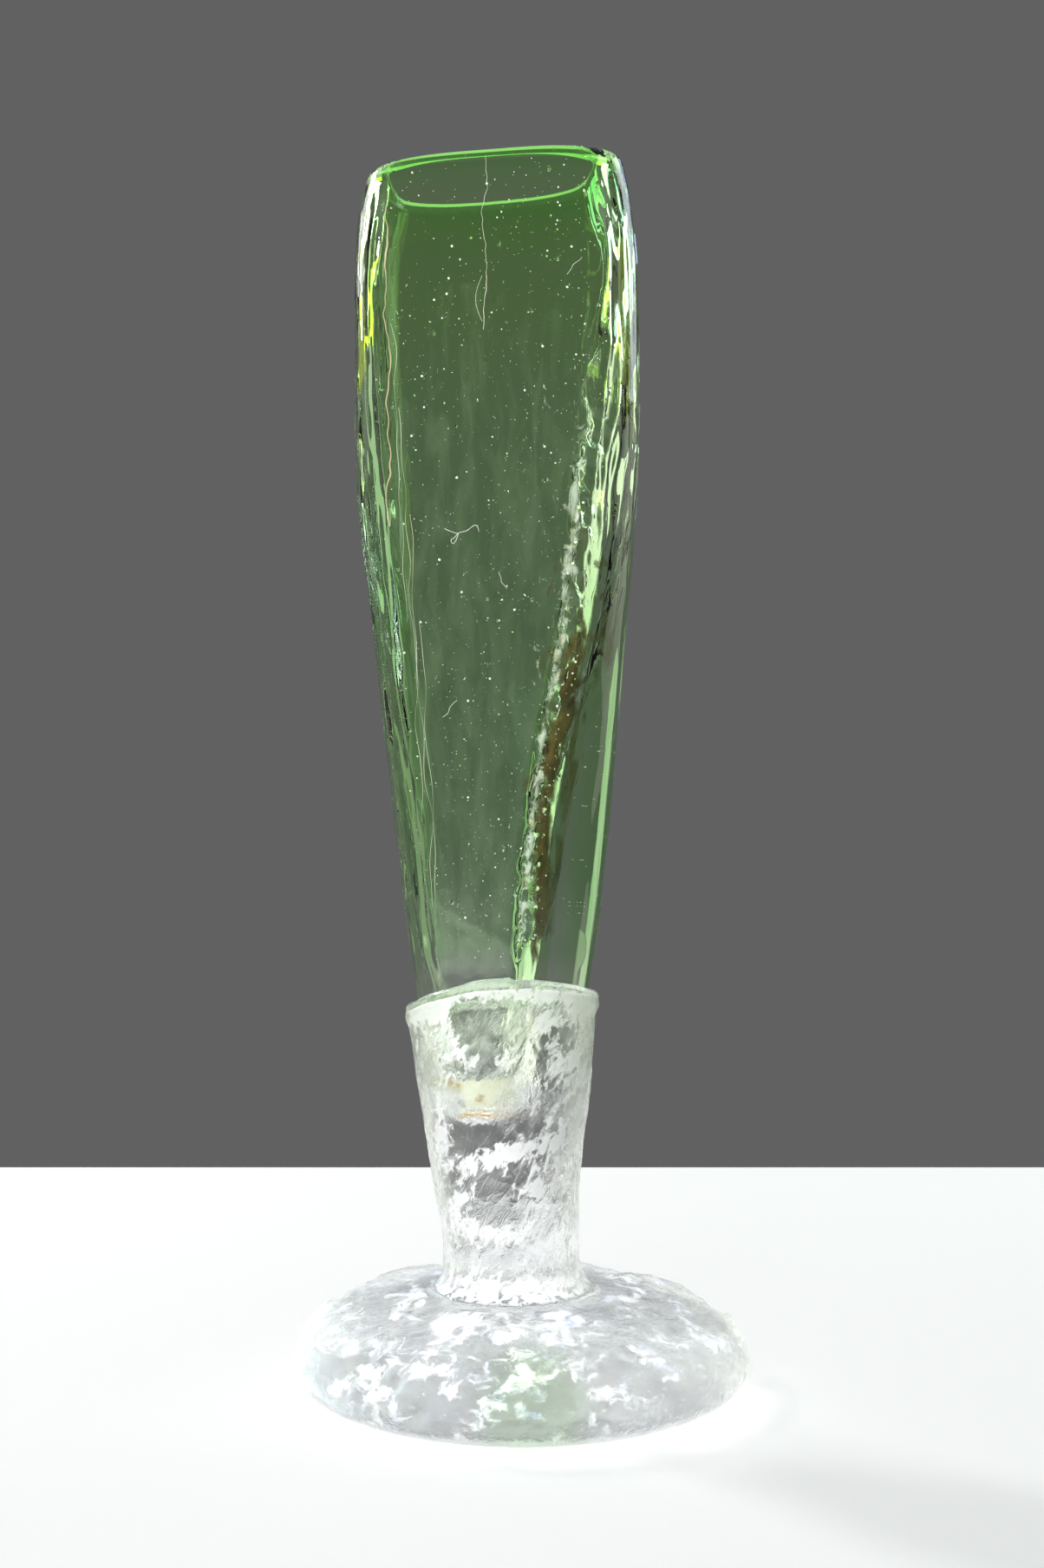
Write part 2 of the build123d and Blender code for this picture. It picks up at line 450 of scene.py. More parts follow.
def vessel():
    """The green bubble: outer wall, rounded rim and cavity, clear-faced where the collar is fused on."""
    turns = even_turns(200)
    top = RIM_MIDDLE - RIM_ROUND
    ox, oy, oz, onx, ony, seam_row = vessel_wall(
        VESSEL_OUTSIDE, VESSEL_BOTTOM, 12, 0.85, turns, top, collar_lip(turns)
    )
    ix, iy, iz, inx, iny, _ = vessel_wall(VESSEL_CAVITY, CAVITY_BOTTOM, 10, 1.15, turns, top)
    free = smooth(83, 92, oz)
    calm = 1 - smooth(228, 238, oz)
    out = free * (0.25 * field(ox, oy, oz, (26, 26, 40), 1))
    out = out + free * (0.3 + 0.7 * calm) * (0.4 * bark(ox, oy, oz, onx, 3, 55) - 0.15)
    ox, oy = ox + out * onx, oy + out * ony
    into = cavity_swell(ix, iy, iz, inx)
    ix, iy = ix + into * inx, iy + into * iny
    # the fire-polished rim
    rx, ry, rz = turn_over((ox[-1], oy[-1]), (ix[-1], iy[-1]), oz[-1], 13, 0.85)
    x = np.vstack([ox, rx, ix[::-1]])
    y = np.vstack([oy, ry, iy[::-1]])
    z = np.vstack([oz, rz, iz[::-1]])
    z = z + rim_lift(x, z)
    slots = np.zeros(len(x) - 1, int)
    slots[:seam_row] = 1
    piece = grid_mesh("green_vessel_glass", x, y, z, slots)
    piece.data.materials.append(GREEN)
    piece.data.materials.append(FUSED)
    return piece


def seat_swell(x, y, z):
    """Unevenness of the ring where stem and foot were fused; both gathers follow it."""
    return 0.9 * field(x, y, z, (8, 8, 8), 51) + 0.4 * field(x, y, z, (3.5, 3.5, 3.5), 52)


def collar_lip(turns):
    """Height of the lip's wall round the collar: arched over the front, lower at the sides and the back."""
    top_x = LIP_CENTRE_X + LIP_HALF_WIDTH * np.cos(turns)
    top_y = LIP_HALF_DEPTH * np.sin(turns)
    lip = LIP_CREST - LIP_BEAD - (ARCH_RADIUS - np.sqrt(ARCH_RADIUS**2 - top_x**2))
    drop = LIP_DROP * (0.5 + top_y / (2 * LIP_HALF_DEPTH))
    return lip - drop + 0.35 * field(top_x, top_y, 0 * turns, (9, 9, 9), 31)


def stem_collar():
    """The clear gather: its worked outside, the lip's bead, and the socket for the vessel."""
    turns = even_turns(230, 2.1, 0.9)
    lip = collar_lip(turns)
    z = SEAT + np.linspace(0, 1, 125)[:, None] * (lip[None, :] - SEAT)
    width, depth, centre, square = at_height(COLLAR_OUTSIDE, z)
    x, y, nx, ny = superellipse(turns[None, :], width, depth, centre, square)
    live = smooth(SEAT, SEAT + 4, z)
    below_lip = z - lip[None, :]
    calm = 1 - 0.6 * smooth(-5, -1.5, below_lip)
    warp = 1.5 * field(x, y, z, (7, 7, 12), 33)
    strokes = ridges(field(x + warp, y + warp, z, (1.7, 1.7, 5.5), 34))
    worked = smooth(-0.15, 0.25, field(x, y, z, (9, 9, 12), 36))
    dents = field(x, y, z, (5, 5, 8), 35)
    push = live * calm * (0.26 * worked * strokes + 0.3 * dents - 0.1) + (1 - live) * seat_swell(x, y, z)
    flare = LIP_FLARE * smooth(-4.0, -1.6, below_lip) * (1 - 0.6 * smooth(-1.5, 0, below_lip))
    x, y = x + (push + flare) * nx, y + (push + flare) * ny
    # the socket, down the vessel's own outside
    down = np.linspace(1, 0, 70)[:, None]
    first = VESSEL_OUTSIDE[0, 0]
    sz = first + down * (lip[None, :] - first)
    width, depth, centre, square = at_height(VESSEL_OUTSIDE, sz)
    sx, sy, _, _ = superellipse(turns[None, :], width + SEAM_GAP, depth + SEAM_GAP, centre, square)
    cap = np.linspace(0, math.pi / 2, 13)[1:][:, None]
    width, depth, centre, square = at_height(VESSEL_OUTSIDE, np.full((1, len(turns)), first))
    cx, cy, _, _ = superellipse(
        turns[None, :], (width + SEAM_GAP) * np.cos(cap), (depth + SEAM_GAP) * np.cos(cap), centre, square
    )
    cz = first - (first - VESSEL_BOTTOM + SEAM_GAP) * np.sin(cap) * np.ones_like(cx)
    lx, ly, lz = turn_over((x[-1], y[-1]), (sx[0], sy[0]), lip[None, :], 11)
    # the fused face below, from its middle out to the stem
    spread = np.linspace(0, 1, 8, endpoint=False)[:, None]
    bx, by = SEAT_X + (x[:1] - SEAT_X) * spread, y[:1] * spread
    bz = np.full_like(bx, SEAT)
    slots = np.zeros(len(bx) + len(x) + len(lx) + len(sx) + len(cx) - 1, int)
    slots[: len(bx)] = 1
    slots[-len(sx) - len(cx) + 1:] = 1
    piece = grid_mesh(
        "clear_stem_collar_glass", np.vstack([bx, x, lx, sx, cx]), np.vstack([by, y, ly, sy, cy]),
        np.vstack([bz, z, lz, sz, cz]), slots,
    )
    piece.data.materials.append(CLEAR)
    piece.data.materials.append(FUSED)
    return piece


def smooth_path(points, steps):
    """A smooth curve through points, with that many steps between each pair."""
    p = np.array(points, float)
    p = np.vstack([2 * p[0] - p[1], p, 2 * p[-1] - p[-2]])
    out = []
    for i in range(1, len(p) - 2):
        t = np.linspace(0, 1, steps, endpoint=False)[:, None]
        a, b, c, d = p[i - 1], p[i], p[i + 1], p[i + 2]
        bend = (2 * a - 5 * b + 4 * c - d) * t**2
        out.append(0.5 * (2 * b + (c - a) * t + bend + (3 * b - a - 3 * c + d) * t**3))
    out.append(p[-2:-1])
    return np.vstack(out)


# Folds in the foot's side: their turn in degrees (270 is the front), half width in degrees, and depth.
DRIP_FOLDS = ((222, 1.8, 1.1), (229, 1.5, 1.4), (236, 2.0, 1.1), (246, 2.2, 1.3), (291, 2.6, 1.0))


def drip_folds(turns, z):
    """Soft folds that ran down the foot's front as it cooled, most of them on its left."""
    folds = 0.0
    for degrees, width, depth in DRIP_FOLDS:
        away = (np.degrees(turns) - degrees - 0.5 * (z - 8)) / width
        folds = folds - depth * np.exp(-away * away)
    return folds * smooth(3.0, 6.5, z) * (1 - smooth(12.0, 15.5, z))


def foot():
    """The clear domed disc: pontil mark, flat base, rippled side, and the fused face on top."""
    turns = np.linspace(0, 2 * math.pi, 340, endpoint=False)[None, :]
    under = smooth_path([(0.0, 0.8), (5, 0.65), (11, 0.0)], 6)[:-1]
    flat = np.array([(r, 0.0) for r in np.linspace(11, 36.5, 22)])
    side = smooth_path(
        [(37.5, 0.15), (42.2, 1.6), (FOOT_RADIUS - 0.6, 4.4), (FOOT_RADIUS - 0.3, 7.6), (42.6, 11.6),
         (37.2, 15.2), (30.0, 17.8), (23.0, SEAT - 0.5), (19.6, SEAT - 0.12), (SEAT_EDGE, SEAT)], 10,
    )
    top = np.array([(SEAT_EDGE * s, SEAT) for s in np.linspace(1, 0, 9)[1:]])
    profile = np.vstack([under, flat, side, top])
    r, z = profile[:, :1], profile[:, 1:]
    x, y = r * np.cos(turns), r * np.sin(turns)
    z = z + 0 * turns
    shift = smooth(2, 17, z)
    seat_ring = 1 - smooth(0, 5.5, np.abs(r - SEAT_EDGE))
    x = x + SEAT_X * smooth(17.0, SEAT, z)
    live = smooth(2.5, 7.5, z) * smooth(SEAT_EDGE + 0.3, SEAT_EDGE + 6, r)
    warp = 6.0 * field(x, y, z, (18, 18, 18), 41)
    flow = ridges(field(x + warp, y - warp, z * 1.5, (17, 17, 12), 42), 1.2)
    dents = field(x, y, z, (21, 21, 14), 43)
    small = field(x + warp, y + warp, z, (6.5, 6.5, 6.5), 44)
    fine = ridges(field(x + 0.5 * warp, y - 0.5 * warp, z, (4.5, 4.5, 4.0), 45))
    drips = drip_folds(turns, z)
    push = live * (0.7 * flow + 0.5 * dents + 0.45 * small + 0.35 * fine - 0.75) + drips
    lift = seat_ring * seat_swell(x, y, z) * (z > 10)
    x = x + push * np.cos(turns) * (1 - 0.6 * shift) + lift * np.cos(turns)
    y = y + push * np.sin(turns) * (1 - 0.6 * shift) + lift * np.sin(turns)
    z = z + push * shift * 1.1 - 0.5 * live * x / FOOT_RADIUS
    slots = np.zeros(len(profile) - 1, int)
    slots[-len(top):] = 1
    piece = grid_mesh("clear_foot_glass", x, y, z, slots)
    piece.data.materials.append(FOOT)
    piece.data.materials.append(FUSED)
    return piece


# ---- what is in and on the glass --------------------------------------------------------------------------


def in_wall(x, z, side, share):
    """A point in the front (side -1) or back (+1) wall: share 0 is on the cavity, 1 on the outside."""
    x, z = np.asarray(x, float), np.asarray(z, float)
    depths = []
    for stations in (VESSEL_CAVITY, VESSEL_OUTSIDE):
        width, depth, centre, square = at_height(stations, z)
        inside = np.clip(1 - np.abs((x - centre) / width) ** square, 0, 1)
        depths.append(depth * inside ** (1 / square))
    y = side * (depths[0] + share * (depths[1] - depths[0]))
    return np.stack([x, y, z + rim_lift(x, z)], -1)


def specks(name, places, sizes, stretch, seed, level=1):
    """Many small lumps as one mesh: each is a low ball with its points shaken."""
    rng = random.Random(seed)
    ball = bmesh.new()
    bmesh.ops.create_icosphere(ball, subdivisions=level, radius=1.0)
    points = [v.co.copy() for v in ball.verts]
    faces = [[v.index for v in f.verts] for f in ball.faces]
    ball.free()
    all_points, all_faces = [], []
    for place, size in zip(places, sizes):
        start = len(all_points)
        turn = Euler((rng.uniform(0, 6.3), rng.uniform(0, 6.3), rng.uniform(0, 6.3))).to_matrix()
        for p in points:
            q = (turn @ p) * (size * rng.uniform(0.8, 1.2))
            all_points.append((Vector(place) + Vector((q.x, q.y, q.z * stretch))) * MM)
        all_faces += [[start + i for i in f] for f in faces]
    return mesh_piece(name, all_points, all_faces)


def threads(name, paths, radius):
    """Fine lines as one curve; each path is a list of points with a relative thickness."""
    curve = bpy.data.curves.new(name, "CURVE")
    curve.dimensions = "3D"
    curve.bevel_depth = radius * MM
    curve.bevel_resolution = 1
    curve.use_fill_caps = True
    for path in paths:
        spline = curve.splines.new("POLY")
        spline.points.add(len(path) - 1)
        for point, (place, thickness) in zip(spline.points, path):
            point.co = (*(Vector(place) * MM), 1)
            point.radius = thickness
    return put(name, curve)


def dull(name, colours, scale):
    """Matte patches of colour: dry matter, and the films of painted sheen and glints."""
    material, nodes, links = new_material(name)
    place = nodes.new("ShaderNodeTexCoord").outputs["Object"]
    shader = add(nodes, "BsdfPrincipled", Roughness=0.7)
    patches = stretched_noise(nodes, links, place, (1, 1, 1), scale, 4, 0.6, 0.5)
    stops = [(0.3 + 0.4 * i / (len(colours) - 1), c) for i, c in enumerate(colours)]
    links.new(ramp(nodes, links, patches, stops), shader.inputs["Base Color"])
    out = nodes.new("ShaderNodeOutputMaterial")
    links.new(shader.outputs["BSDF"], out.inputs["Surface"])
    return material


def film_looks(name, colours, scale, stretch, slant, most, soft):
    """A thin film: its points' cover attribute says where it is thick, and fine noise eats its edges.

    most is its alpha where it is thickest, and soft is how gradually it gets there.
    """
    material = dull(name, colours, scale * 0.6)
    nodes, links = material.node_tree.nodes, material.node_tree.links
    place = nodes.new("ShaderNodeTexCoord").outputs["Object"]
    grain = stretched_noise(nodes, links, place, stretch, scale, 6, 0.66, 0.7, slant)
    cover = add(nodes, "Attribute", attribute_name="cover")
    spread = add(nodes, "MapRange", From_Min=0.3, From_Max=0.7)
    links.new(grain, spread.inputs["Value"])
    total = add(nodes, "Math", operation="ADD")
    links.new(spread.outputs["Result"], total.inputs[0])
    links.new(cover.outputs["Fac"], total.inputs[1])
    share = add(nodes, "MapRange", From_Min=1.0 - soft, From_Max=1.0 + soft, To_Min=0.0, To_Max=most)
    links.new(total.outputs["Value"], share.inputs["Value"])
    shader = next(n for n in nodes if n.type == "BSDF_PRINCIPLED")
    links.new(share.outputs["Result"], shader.inputs["Alpha"])
    return material


def film(name, x, y, z, nx, ny, cover, round_about=False):
    """A closed thin film on a grid of points; cover runs from 0, bare, to 1, thick."""
    rows, columns = x.shape
    outer = np.stack([x + FILM_HALF * nx, y + FILM_HALF * ny, z], -1).reshape(-1, 3)
    inner = np.stack([x - FILM_HALF * nx, y - FILM_HALF * ny, z], -1).reshape(-1, 3)
    sheet = len(outer)
    faces = []
    last = columns if round_about else columns - 1
    for i in range(rows - 1):
        for j in range(last):
            a, b = i * columns + j, i * columns + (j + 1) % columns
            c, d = b + columns, a + columns
            faces.append((a, b, c, d))
            faces.append((sheet + d, sheet + c, sheet + b, sheet + a))
    rims = [[i * columns + j for j in range(columns)] for i in (0, rows - 1)]
    edges = []
    for k, ring in enumerate(rims):
        around = ring + ring[:1] if round_about else ring
        edges += [(p, q) if k == 0 else (q, p) for p, q in zip(around[:-1], around[1:])]
    if not round_about:
        edges += [((i + 1) * columns, i * columns) for i in range(rows - 1)]
        edges += [(i * columns + columns - 1, (i + 1) * columns + columns - 1) for i in range(rows - 1)]
    faces += [(q, p, sheet + p, sheet + q) for p, q in edges]
    piece = mesh_piece(name, (np.vstack([outer, inner]) * MM).tolist(), faces)
    values = piece.data.attributes.new("cover", "FLOAT", "POINT")
    values.data.foreach_set("value", np.tile(np.clip(cover, 0, 1).reshape(-1), 2).astype(np.float32))
    return piece


def cavity_film(name, low, high, first, last, cover_of, step, depth_in):
    """A film along the cavity's wall, depth_in the glass, between two heights and two turns in degrees.

    A turn of 270 is the front. cover_of gives the cover from X, height and turn.
    """
    z = np.arange(low, high, step)[:, None]
    turns = np.radians(np.linspace(first, last, max(12, int((last - first) / 1.6))))[None, :]
    base = VESSEL_CAVITY[0, 0]
    down = np.clip((base - z) / (base - CAVITY_BOTTOM), 0, 0.995)
    draw_in = np.sqrt(1 - down * down)
    width, depth, centre, square = at_height(VESSEL_CAVITY, np.maximum(z, base))
    x, y, nx, ny = superellipse(turns, width * draw_in, depth * draw_in, centre, square)
    z = z + 0 * x
    out = cavity_swell(x, y, z, nx) + depth_in
    return film(name, x + out * nx, y + out * ny, z, nx, ny, cover_of(x, z, np.degrees(turns) + 0 * x))


def blot(x, z, middle_x, middle_z, half_x, half_z, lean=0.0):
    """1 in the middle of a soft-edged oval, 0 well outside it; lean tips its long axis."""
    across = (x - middle_x - lean * (z - middle_z)) / half_x
    return np.exp(-(across**2) - ((z - middle_z) / half_z) ** 2)


# White patches under the stem and collar's skin, seen from the front, their white painted sheen over trapped
# air: X, Z, half widths, lean, thickness.
VEIL_PATCHES = [
    (-15.6, 52, 1.8, 20, 0.0, 0.45), (-12.0, 70, 3.2, 6, -0.5, 0.50), (-3.2, 67.5, 2.4, 4.5, 0.2, 0.55),
    (-5.5, 47.5, 6.0, 3.0, 1.6, 0.75), (-12.0, 37, 2.6, 10, 0.2, 0.50), (-4.0, 33.0, 6.5, 1.8, -0.6, 0.60),
    (6.5, 50, 3.8, 14, 0.2, 0.38), (8.5, 66, 3.0, 6, 0.5, 0.42), (-2.0, 22.5, 12, 2.4, 0.0, 0.50),
    (3.0, 73, 1.2, 5, 0.4, 0.45), (2.0, 41, 5.0, 2.0, -0.8, 0.35),
    (7.5, 74.5, 4.5, 3.5, 0.3, 0.38), (13.0, 74, 2.4, 7, 0.0, 0.45), (-18.0, 74, 2.2, 6, 0.0, 0.35),
]
# Clear gaps in it: X, Z, half widths, how much thinner.
VEIL_GAPS = [
    (-5.5, 73, 5.0, 5.0, 0.35), (-6.5, 59, 6.5, 3.8, 0.6), (-11, 52, 2.2, 5, 0.35), (-6, 40, 4, 3.5, 0.35),
]


def stem_veil():
    """Air and scale that were trapped in strokes just under the skin of the stem and collar, drawn as a white
    film whose white is painted sheen for the light the trapped air reflects.
    """
    turns = even_turns(200, 2.1, 0.9)
    lip = collar_lip(turns)
    z = SEAT + 0.2 + np.linspace(0, 1, 120)[:, None] * (lip[None, :] - 0.5 - SEAT)
    width, depth, centre, square = at_height(COLLAR_OUTSIDE, z)
    inset = 0.5 + 0.5 * smooth(20.5, 24, z)
    x, y, nx, ny = superellipse(turns[None, :], width - inset, depth - inset, centre, square)
    cover = 0.16 + 0.30 * field(x, y, z, (4.5, 4.5, 6.5), 61)
    front = np.clip(0.5 - 1.5 * ny, 0, 1)
    for middle_x, middle_z, half_x, half_z, lean, thick in VEIL_PATCHES:
        cover = cover + front * thick * blot(x, z, middle_x, middle_z, half_x, half_z, lean)
    for middle_x, middle_z, half_x, half_z, thin in VEIL_GAPS:
        cover = cover - front * thin * blot(x, z, middle_x, middle_z, half_x, half_z)
    # Painted highlight: the film is thickened under the lip's bead so that the bead shows white; it is
    # thickened at the seat too.
    cover = cover + 0.42 * smooth(-4.5, -0.8, z - lip[None, :]) + 0.3 * (1 - smooth(20.5, 22, z))
    veil = film("stem_veil", x, y, z, nx, ny, cover, True)
    veil.data.materials.append(film_looks(
        "stem_veil_looks", [(0.80, 0.82, 0.81), (0.93, 0.93, 0.94)], 620, (1, 1, 2.2), 30, 0.80, 0.10))
    return veil


def foot_painted_glints():
    """Strokes, white and dark, in a film just under the foot's skin: painted glints (white and lavender) and
    painted reflections of the dark room (dark).
    """
    turns = np.linspace(0, 2 * math.pi, 260, endpoint=False)[None, :]
    profile = [(41.8, 3.0), (43.0, 6.5), (40.4, 11.0), (35.0, 14.2), (28.0, 16.6), (18.5, 18.4)]
    inside = smooth_path(profile, 8)
    r, z = inside[:, :1], inside[:, 1:] + 0 * turns
    x, y = r * np.cos(turns) + SEAT_X * smooth(17.0, SEAT, z), r * np.sin(turns)
    cover = 0.20 + 0.38 * field(x, y, z, (9, 9, 6), 62) + 0.14 * field(x, y, z, (4, 4, 3), 63)
    cover = cover + 0.25 * blot(x, z, -2, 17.0, 16, 2.4)
    veil = film("foot_painted_glints", x, y, z, np.cos(turns) + 0 * r, np.sin(turns) + 0 * r, cover, True)
    # Painted glints: the white and lavender strokes; painted reflection: the dark lavender-grey strokes stand
    # for the dark room seen in the foot.
    veil.data.materials.append(film_looks(
        "foot_painted_glints_looks", [(0.48, 0.52, 0.74), (0.88, 0.91, 1.0), (1.0, 1.0, 1.0), (1.0, 1.0, 0.98)],
        420, (1.7, 1.7, 1), 0, 0.8, 0.20))
    return veil


def well_films():
    """What water left behind on the cavity's wall; the crust's film also carries painted glints."""
    def dusty(x, z, degrees):
        streaks = field(x, 0 * x, z, (1.6, 5, 60), 71)
        clouds = field(x, 0 * x, z, (9, 9, 20), 72)
        dust = 0.30 + 0.12 * (1 - smooth(90, 190, z)) + 0.04 * streaks + 0.10 * clouds
        return dust * (1 - smooth(175, 213, z)) * (1 - 0.3 * smooth(150, 213, z))

    def smoky(x, z, degrees):
        top_edge = 98.5 - 0.62 * (x + 18)
        ends = smooth(-19, -17, x) * (1 - smooth(-2.5, 0.5, x))
        return 0.75 * smooth(0, 1.2, top_edge - z) * ends * smooth(82, 84, z)

    def brown(x, z, degrees):
        middle = 326.5 + 3 * np.sin(z * 0.09) + 4 * field(0 * x, 0 * x, z, (5, 5, 9), 73)
        ends = smooth(83, 92, z) * (1 - smooth(143, 156, z))
        streak = np.exp(-(((degrees - middle) / 10) ** 2))
        clouds = field(x, 10 * np.sin(np.radians(degrees)), z, (4, 4, 16), 79)
        haze = 0.62 * np.exp(-(((degrees - 352) / 13) ** 2)) * (0.7 + 0.9 * clouds)
        return ends * np.maximum(streak, haze) + 0.1 * field(x, 0 * x, z, (3, 3, 6), 74)

    # The crust's film is drawn white and silver along the well's right side: partly the crust's own colour,
    # partly painted glints and sheen from its facets.
    def crust(x, z, degrees):
        middle = 310.5 + 3.5 * field(0 * x, 0 * x, z, (9, 9, 7), 77)
        ends = smooth(86, 92, z) * (1 - smooth(168, 192, z))
        lumps = field(x, 0 * x, z, (2.4, 9, 3.6), 78)
        return ends * (0.62 + 0.5 * lumps) * np.exp(-(((degrees - middle) / 5.0) ** 2))

    def scale(x, z, degrees):
        ragged = z + 1.1 * field(x, 0 * x, z, (2.6, 9, 4.0), 76)
        low_edge = 55.0 + 4.2 * (1 - smooth(-10.6, -9.2, x))
        ends = smooth(-13.2, -12.2, x) * (1 - smooth(-1.6, -0.7, x + 0.3 * (z - 58)))
        return 0.9 * ends * smooth(0, 0.6, ragged - low_edge) * (1 - smooth(61.8, 62.8, ragged))

    def rust(x, z, degrees):
        edge = 55.4 + 0.9 * field(x, 0 * x, z, (2.2, 9, 9), 75)
        line = np.exp(-(((z - edge) / 0.9) ** 2)) * smooth(-11.5, -10, x) * (1 - smooth(-1.2, 0.4, x))
        spots = blot(x, z, -7.6, 58.8, 0.55, 0.9) + 0.8 * blot(x, z, -13.4, 62.2, 0.8, 0.5)
        return 0.85 * line + 0.75 * spots + 0.8 * blot(x, z, -12.0, 61.4, 1.4, 0.35)

    def soot(x, z, degrees):
        return 0.85 * blot(x, z, -7.5, 59.2, 0.35, 0.8) + 0.6 * blot(x, z, -8.2, 58.4, 0.3, 0.3)

    # name, heights, turns in degrees, cover, step and depth of the film; then what film_looks needs
    rows = (
        ("dusty_film", 84, 214, 186, 354, dusty, 1.0, LOOSE,
         [(0.62, 0.72, 0.55), (0.85, 0.9, 0.8)], 260, (1, 1, 4), 0.055, 0.45),
        ("smoky_patch", 82, 100, 215, 300, smoky, 0.5, LOOSE,
         [(0.72, 0.76, 0.68), (0.86, 0.88, 0.82)], 200, (1, 1, 1), 0.09, 0.5),
        ("brown_streak", 82, 168, 296, 374, brown, 0.6, BONDED,
         [(0.10, 0.06, 0.02), (0.24, 0.16, 0.05)], 240, (1, 1, 2), 0.8, 0.35),
        # the crust's film: pale crust with painted glints and sheen
        ("crust_with_painted_glints", 84, 195, 288, 325, crust, 0.5, BONDED,
         [(0.80, 0.86, 0.80), (1.0, 1.0, 0.98), (0.95, 0.86, 0.6)], 420, (1, 1, 2), 0.85, 0.15),
        ("scale_deposit", 53.9, 65, 195, 345, scale, 0.3, LOOSE,
         [(0.93, 0.91, 0.80), (0.80, 0.82, 0.62), (0.97, 0.96, 0.9)], 480, (1, 1, 2), 0.95, 0.12),
        ("rust_edge", 53.9, 63.5, 190, 345, rust, 0.25, LOOSE,
         [(0.60, 0.27, 0.01), (0.88, 0.58, 0.04)], 700, (1, 1, 1), 1.0, 0.15),
        ("soot_spot", 57, 61, 235, 300, soot, 0.2, LOOSE,
         [(0.02, 0.02, 0.015), (0.08, 0.05, 0.03)], 900, (1, 1, 1), 1.0, 0.12),
    )
    films = []
    for name, low, high, first, last, cover_of, step, depth_in, colours, grain, stretch, most, soft in rows:
        piece = cavity_film(name, low, high, first, last, cover_of, step, depth_in)
        piece.data.materials.append(film_looks(name + "_looks", colours, grain, stretch, 0, most, soft))
        films.append(piece)
    return films


def wobble(count, size, step, seed):
    """A smooth sideways wander, one value for each point of a line."""
    return np.array([size * noise.noise(Vector((i / step, 3.7 * seed, 0.0))) for i in range(count)])


def scatter(count, seed, low, high, radius, share, crowd=0.0):
    """Places over the front and back walls, and a size for each; crowd draws them to the upper right."""
    rng = random.Random(seed)
    places, sizes = [], []
    while len(places) < count:
        z = rng.uniform(low, high)
        width, _, centre, _ = at_height(VESSEL_CAVITY, np.array(z))
        across = rng.uniform(-0.98, 0.98)
        too_far_left = rng.random() < crowd * (1 - 0.5 * (across + 1)) * 0.9
        if too_far_left or rng.random() < crowd * (high - z) / (high - low):
            continue
        side = rng.choice((-1, -1, 1))
        places.append(in_wall(centre + width * across, z, side, rng.uniform(*share)))
        sizes.append(radius[0] + (radius[1] - radius[0]) * rng.random() ** 6)
    return places, sizes


